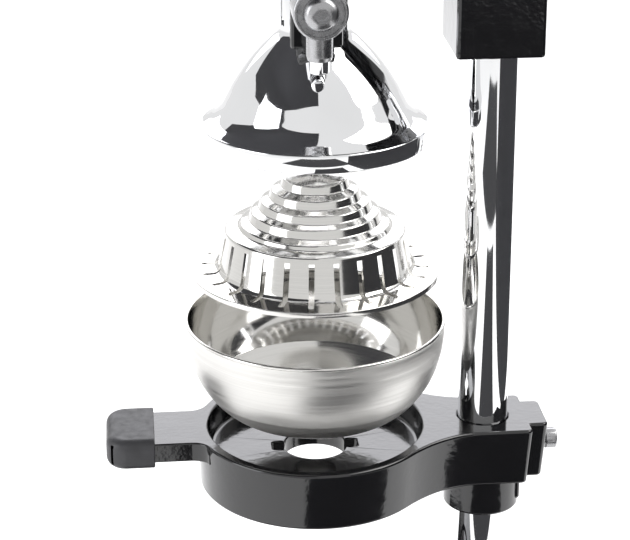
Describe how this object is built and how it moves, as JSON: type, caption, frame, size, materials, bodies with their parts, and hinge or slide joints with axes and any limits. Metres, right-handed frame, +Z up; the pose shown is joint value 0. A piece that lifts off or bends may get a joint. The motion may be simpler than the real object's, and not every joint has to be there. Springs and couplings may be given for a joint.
{
  "type": "citrus press juicer",
  "caption": "Hand-lever citrus press: cast base and chrome column carry a cup holder, bowl, ribbed strainer and a rack-driven press bell.",
  "frame": {"origin": "on the table, under the middle of the base", "axes": "+Z up; -X is the user's side, +X is the column; the lever is on the -Y side"},
  "size_m": [0.264, 0.178, 0.6777],
  "materials": {
    "black_enamel": "gloss black enamel over cast metal, slight orange peel",
    "chrome": "polished chrome plate",
    "stainless": "spun stainless steel, polished inside and satin outside",
    "steel": "bright machined steel",
    "bronze": "plain turned bronze",
    "rubber": "matte moulded rubber",
    "black_plastic": "semi-gloss black plastic"
  },
  "bodies": {
    "frame": {"base_casting": "black_enamel", "foot_front_right": "rubber", "foot_front_left": "rubber", "foot_rear_right": "rubber", "foot_rear_left": "rubber", "foot_screw_front_right": "steel", "foot_screw_front_left": "steel", "foot_screw_rear_right": "steel", "foot_screw_rear_left": "steel", "column": "chrome", "column_washer": "steel", "column_bolt": "steel", "column_plug": "black_plastic", "head_casting": "black_enamel", "head_cap": "black_enamel", "head_cap_screw_front": "steel", "head_cap_screw_rear": "steel", "head_clamp_screw_lower": "steel", "head_clamp_screw_upper": "steel", "rack_guide": "bronze", "guide_screw": "steel", "near_bush": "bronze", "far_bush": "bronze"},
    "holder": {"cup_holder": "black_enamel", "holder_clamp_screw": "steel", "tab_cap": "rubber"},
    "bowl": {"bowl": "stainless"},
    "strainer": {"strainer": "stainless"},
    "press": {"press_bell": "chrome", "rack": "steel", "rack_pin": "steel"},
    "lever": {"pinion_shaft": "steel", "pinion": "steel", "pinion_key": "steel", "shaft_clip": "steel", "lever_hub": "steel", "hub_bolt": "steel", "lever_rod": "chrome", "grip_collar": "chrome", "lever_grip": "black_plastic", "grip_nut": "chrome"}
  },
  "joints": [
    {"name": "lever_hinge", "type": "hinge", "parent": "frame", "child": "lever", "pos_m": [-0.0086, 0, 0.4358], "axis": [0, -1, 0], "range_deg": [0, 145]},
    {"name": "press_slide", "type": "slide", "parent": "frame", "child": "press", "axis": [0, 0, -1], "range_m": [0, 0.0285]},
    {"name": "holder_slide", "type": "slide", "parent": "frame", "child": "holder", "axis": [0, 0, 1], "range_m": [-0.06, 0.03]},
    {"name": "bowl_lift", "type": "slide", "parent": "holder", "child": "bowl", "axis": [0, 0, 1], "range_m": [-0.0222, 0]},
    {"name": "strainer_lift", "type": "slide", "parent": "bowl", "child": "strainer", "axis": [0, 0, 1], "range_m": [-0.0465, 0]}
  ],
  "couplings": [
    {"joint": "press_slide", "follows": "lever_hinge", "m_per_rad": 0.01125}
  ]
}
